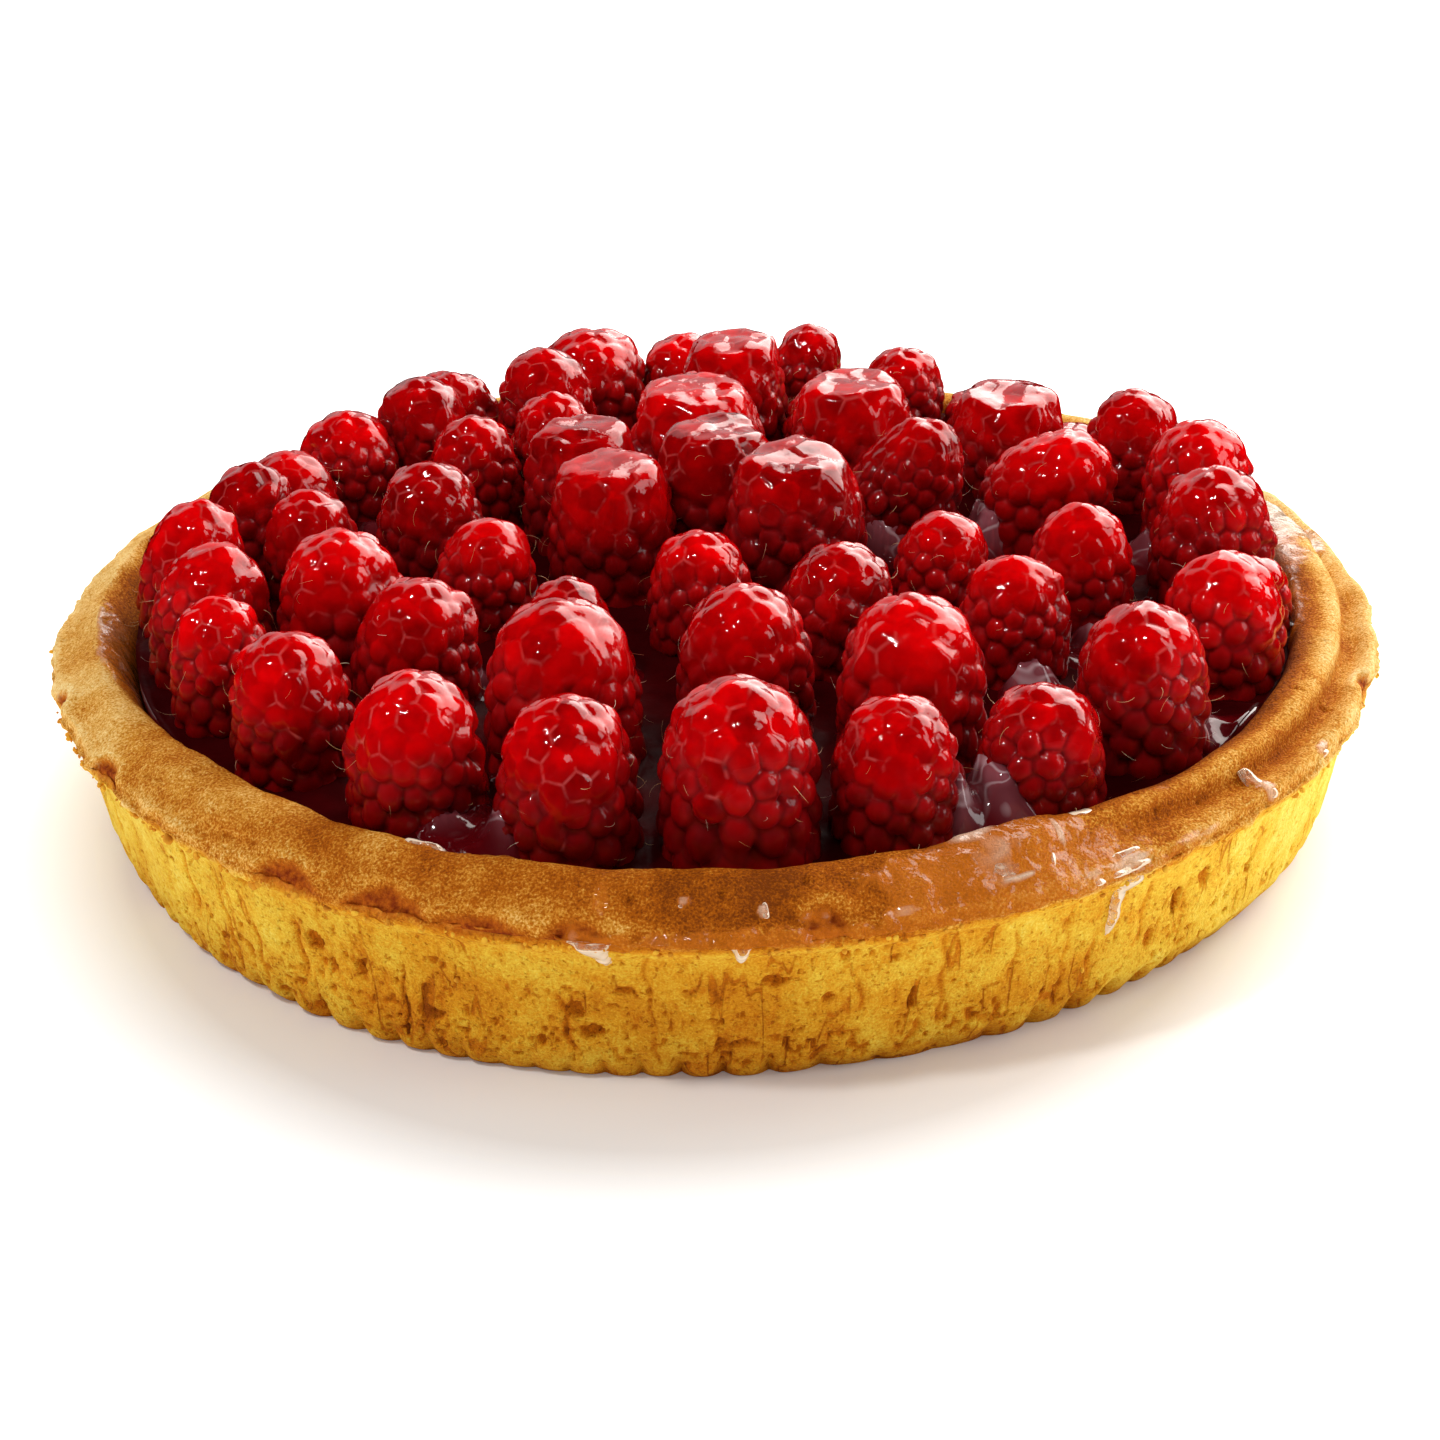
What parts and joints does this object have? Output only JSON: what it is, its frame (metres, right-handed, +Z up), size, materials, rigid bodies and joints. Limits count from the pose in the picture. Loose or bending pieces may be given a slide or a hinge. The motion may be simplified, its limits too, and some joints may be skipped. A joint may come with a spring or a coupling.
{
  "type": "raspberry tart",
  "caption": "Round glazed raspberry tart: a straight-walled shortcrust shell with an overhanging ragged rim, a set filling, and whole raspberries standing close together on top.",
  "frame": {"origin": "middle of the shell's underside, on the surface the tart rests on", "axes": "+Z up; -Y towards the side shown nearest; the tart is round about Z apart from the berries and the rim's unevenness"},
  "size_m": [0.2203, 0.22, 0.0538],
  "materials": {
    "crust": "baked shortcrust, matte and sandy: golden yellow wall, brown along the rim and the base",
    "filling": "set filling under a dark red-brown glaze, wet and glossy",
    "raspberry": "ripe raspberry under clear glaze, deep red and glossy"
  },
  "bodies": {
    "root": {"crust": "crust", "filling": "filling", "raspberry_01": "raspberry", "raspberry_02": "raspberry", "raspberry_03": "raspberry", "raspberry_04": "raspberry", "raspberry_05": "raspberry", "raspberry_06": "raspberry", "raspberry_07": "raspberry", "raspberry_08": "raspberry", "raspberry_09": "raspberry", "raspberry_10": "raspberry", "raspberry_11": "raspberry", "raspberry_12": "raspberry", "raspberry_13": "raspberry", "raspberry_14": "raspberry", "raspberry_15": "raspberry", "raspberry_16": "raspberry", "raspberry_17": "raspberry", "raspberry_18": "raspberry", "raspberry_19": "raspberry", "raspberry_20": "raspberry", "raspberry_21": "raspberry", "raspberry_22": "raspberry", "raspberry_23": "raspberry", "raspberry_24": "raspberry", "raspberry_25": "raspberry", "raspberry_26": "raspberry", "raspberry_27": "raspberry", "raspberry_28": "raspberry", "raspberry_29": "raspberry", "raspberry_30": "raspberry", "raspberry_31": "raspberry", "raspberry_32": "raspberry", "raspberry_33": "raspberry", "raspberry_34": "raspberry", "raspberry_35": "raspberry", "raspberry_36": "raspberry", "raspberry_37": "raspberry", "raspberry_38": "raspberry", "raspberry_39": "raspberry", "raspberry_40": "raspberry", "raspberry_41": "raspberry", "raspberry_42": "raspberry", "raspberry_43": "raspberry", "raspberry_44": "raspberry", "raspberry_45": "raspberry", "raspberry_46": "raspberry", "raspberry_47": "raspberry", "raspberry_48": "raspberry", "raspberry_49": "raspberry", "raspberry_50": "raspberry", "raspberry_51": "raspberry", "raspberry_52": "raspberry", "raspberry_53": "raspberry", "raspberry_54": "raspberry"}
  },
  "joints": []
}
